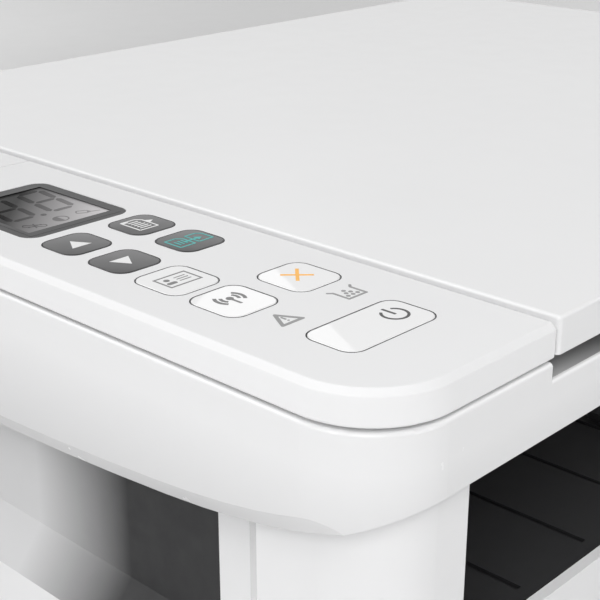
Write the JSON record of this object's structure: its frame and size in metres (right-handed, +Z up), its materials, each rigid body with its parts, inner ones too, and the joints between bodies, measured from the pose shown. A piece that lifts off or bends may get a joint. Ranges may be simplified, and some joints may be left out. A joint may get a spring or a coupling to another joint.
{
  "type": "multifunction laser printer",
  "caption": "Compact white flatbed printer and scanner with a side control panel, hinged lid, lifting scanner, fold-down paper tray and dark output bin.",
  "frame": {"origin": "bottom centre of the machine, on the surface that its feet rest on", "axes": "+X to the user's right, +Y from the front to the rear, +Z up"},
  "size_m": [0.36, 0.264, 0.197],
  "materials": {
    "white_plastic": "fine moulded satin",
    "dark_plastic": "fine moulded matt",
    "frame_plastic": "fine moulded matt",
    "black_plastic": "moulded matt",
    "fuser_plastic": "heat-proof moulding",
    "steel": "zinc-plated sheet",
    "mirror": "polished",
    "rubber": "ground rubber",
    "gear_plastic": "natural acetal",
    "drum_coating": "coated tube, glossy",
    "sleeve_film": "film sleeve",
    "circuit_board": "solder mask",
    "glass": "float glass",
    "lcd": "glossy",
    "pad_foam": "matt foam sheet",
    "dark_key": "satin",
    "white_key": "satin"
  },
  "bodies": {
    "engine": {"base_pan": "dark_plastic", "rubber_feet": "rubber", "left_cover": "white_plastic", "right_cover": "white_plastic", "front_cover": "white_plastic", "rear_cover": "white_plastic", "cover_screws": "steel", "exit_cover": "white_plastic", "output_bin": "dark_plastic", "left_plate": "steel", "right_plate": "steel", "laser_housing": "black_plastic", "toner_cartridge": "black_plastic", "fuser_frame": "fuser_plastic", "main_board": "circuit_board", "usb_port": "black_plastic", "power_board": "circuit_board", "power_inlet": "black_plastic", "main_motor": "steel", "paper_bed": "dark_plastic", "hinge_ears": "black_plastic"},
    "scanner": {"scanner_base": "white_plastic", "scanner_frame": "frame_plastic", "platen_glass": "glass", "scan_rail": "steel", "control_panel": "white_plastic", "panel_strip": "white_plastic", "display_bezel": "black_plastic", "lcd_panel": "lcd", "panel_board": "circuit_board", "scanner_hinge_arms": "black_plastic"},
    "carriage": {"scan_carriage": "black_plastic", "scan_motor": "steel"},
    "scan_pinion": {"scan_pinion": "gear_plastic"},
    "lid": {"lid_cover": "white_plastic", "lid_pad": "pad_foam", "lid_hinge_arms": "black_plastic"},
    "tray": {"input_tray": "white_plastic"},
    "guide_left": {"guide_left": "dark_plastic"},
    "guide_right": {"guide_right": "dark_plastic"},
    "output_stop": {"output_stop": "dark_plastic"},
    "polygon_mirror": {"polygon_mirror": "mirror"},
    "photo_drum": {"photo_drum": "drum_coating"},
    "transfer_roller": {"transfer_roller": "rubber"},
    "motor_pinion": {"motor_pinion": "gear_plastic"},
    "feed_idler": {"feed_idler": "gear_plastic"},
    "pickup_roller": {"pickup_roller": "rubber"},
    "fuser_idler": {"fuser_idler": "gear_plastic"},
    "pressure_roller": {"pressure_roller": "rubber"},
    "delivery_idler": {"delivery_idler": "gear_plastic"},
    "delivery_roller": {"delivery_roller": "rubber"},
    "fuser_sleeve": {"fuser_sleeve": "sleeve_film"},
    "key_up": {"key_up": "dark_key"},
    "key_down": {"key_down": "dark_key"},
    "key_id_copy": {"key_id_copy": "white_key"},
    "key_wireless": {"key_wireless": "white_key"},
    "key_copy_menu": {"key_copy_menu": "dark_key"},
    "key_start_copy": {"key_start_copy": "dark_key"},
    "key_cancel": {"key_cancel": "white_key"},
    "key_power": {"key_power": "white_key"}
  },
  "joints": [
    {"name": "scanner_lift", "type": "hinge", "parent": "engine", "child": "scanner", "pos_m": [0, 0.122, 0.1665], "axis": [-1, 0, 0], "range_deg": [0, 40]},
    {"name": "lid_hinge", "type": "hinge", "parent": "scanner", "child": "lid", "pos_m": [0, 0.124, 0.1885], "axis": [-1, 0, 0], "range_deg": [0, 80]},
    {"name": "tray_fold", "type": "hinge", "parent": "engine", "child": "tray", "pos_m": [0, -0.126, 0.013], "axis": [1, 0, 0], "range_deg": [0, 90]},
    {"name": "stop_flip", "type": "hinge", "parent": "engine", "child": "output_stop", "pos_m": [0, -0.121, 0.1328], "axis": [1, 0, 0], "range_deg": [0, 110]},
    {"name": "guide_right_slide", "type": "slide", "parent": "engine", "child": "guide_right", "axis": [-1, 0, 0], "range_m": [0, 0.05]},
    {"name": "guide_left_slide", "type": "slide", "parent": "engine", "child": "guide_left", "axis": [1, 0, 0], "range_m": [0, 0.05]},
    {"name": "carriage_travel", "type": "slide", "parent": "scanner", "child": "carriage", "axis": [1, 0, 0], "range_m": [0, 0.26]},
    {"name": "scan_pinion_spin", "type": "hinge", "parent": "carriage", "child": "scan_pinion", "pos_m": [-0.108, 0.06, 0.165], "axis": [0, 0, 1], "range_deg": [-5, 1870]},
    {"name": "polygon_spin", "type": "hinge", "parent": "engine", "child": "polygon_mirror", "pos_m": [0, -0.06, 0.09], "axis": [0, 0, 1], "continuous": true},
    {"name": "photo_drum_spin", "type": "hinge", "parent": "engine", "child": "photo_drum", "pos_m": [0, 0.035, 0.062], "axis": [1, 0, 0], "continuous": true},
    {"name": "transfer_roller_spin", "type": "hinge", "parent": "engine", "child": "transfer_roller", "pos_m": [0, 0.035, 0.043], "axis": [1, 0, 0], "continuous": true},
    {"name": "motor_pinion_spin", "type": "hinge", "parent": "engine", "child": "motor_pinion", "pos_m": [0, 0.02884, 0.07891], "axis": [1, 0, 0], "continuous": true},
    {"name": "feed_idler_spin", "type": "hinge", "parent": "engine", "child": "feed_idler", "pos_m": [0, 0.01432, 0.03935], "axis": [1, 0, 0], "continuous": true},
    {"name": "pickup_roller_spin", "type": "hinge", "parent": "engine", "child": "pickup_roller", "pos_m": [0, -0.01168, 0.03935], "axis": [1, 0, 0], "continuous": true},
    {"name": "fuser_idler_spin", "type": "hinge", "parent": "engine", "child": "fuser_idler", "pos_m": [0, 0.05667, 0.06582], "axis": [1, 0, 0], "continuous": true},
    {"name": "pressure_roller_spin", "type": "hinge", "parent": "engine", "child": "pressure_roller", "pos_m": [0, 0.07659, 0.06408], "axis": [1, 0, 0], "continuous": true},
    {"name": "delivery_idler_spin", "type": "hinge", "parent": "engine", "child": "delivery_idler", "pos_m": [0, 0.08487, 0.09499], "axis": [1, 0, 0], "continuous": true},
    {"name": "delivery_roller_spin", "type": "hinge", "parent": "engine", "child": "delivery_roller", "pos_m": [0, 0.08226, 0.12487], "axis": [1, 0, 0], "continuous": true},
    {"name": "fuser_sleeve_spin", "type": "hinge", "parent": "engine", "child": "fuser_sleeve", "pos_m": [0, 0.0734, 0.08215], "axis": [1, 0, 0], "continuous": true},
    {"name": "key_up_press", "type": "slide", "parent": "scanner", "child": "key_up", "axis": [0, 0, -1], "range_m": [0, 0.0008], "stiffness_N_per_m": 800},
    {"name": "key_down_press", "type": "slide", "parent": "scanner", "child": "key_down", "axis": [0, 0, -1], "range_m": [0, 0.0008], "stiffness_N_per_m": 800},
    {"name": "key_id_copy_press", "type": "slide", "parent": "scanner", "child": "key_id_copy", "axis": [0, 0, -1], "range_m": [0, 0.0008], "stiffness_N_per_m": 800},
    {"name": "key_wireless_press", "type": "slide", "parent": "scanner", "child": "key_wireless", "axis": [0, 0, -1], "range_m": [0, 0.0008], "stiffness_N_per_m": 800},
    {"name": "key_copy_menu_press", "type": "slide", "parent": "scanner", "child": "key_copy_menu", "axis": [0, 0, -1], "range_m": [0, 0.0008], "stiffness_N_per_m": 800},
    {"name": "key_start_copy_press", "type": "slide", "parent": "scanner", "child": "key_start_copy", "axis": [0, 0, -1], "range_m": [0, 0.0008], "stiffness_N_per_m": 800},
    {"name": "key_cancel_press", "type": "slide", "parent": "scanner", "child": "key_cancel", "axis": [0, 0, -1], "range_m": [0, 0.0008], "stiffness_N_per_m": 800},
    {"name": "key_power_press", "type": "slide", "parent": "scanner", "child": "key_power", "axis": [0, 0, -1], "range_m": [0, 0.0008], "stiffness_N_per_m": 800}
  ],
  "couplings": [
    {"joint": "guide_left_slide", "follows": "guide_right_slide", "ratio": 1},
    {"joint": "scan_pinion_spin", "follows": "carriage_travel", "rad_per_m": 125},
    {"joint": "transfer_roller_spin", "follows": "photo_drum_spin", "ratio": -1.7143},
    {"joint": "motor_pinion_spin", "follows": "photo_drum_spin", "ratio": -2},
    {"joint": "feed_idler_spin", "follows": "photo_drum_spin", "ratio": 0.85714},
    {"joint": "pickup_roller_spin", "follows": "photo_drum_spin", "ratio": -1},
    {"joint": "fuser_idler_spin", "follows": "photo_drum_spin", "ratio": -1.2},
    {"joint": "pressure_roller_spin", "follows": "photo_drum_spin", "ratio": 1.2},
    {"joint": "delivery_idler_spin", "follows": "photo_drum_spin", "ratio": -0.54545},
    {"joint": "delivery_roller_spin", "follows": "photo_drum_spin", "ratio": 1.5},
    {"joint": "fuser_sleeve_spin", "follows": "photo_drum_spin", "ratio": -1.2}
  ]
}
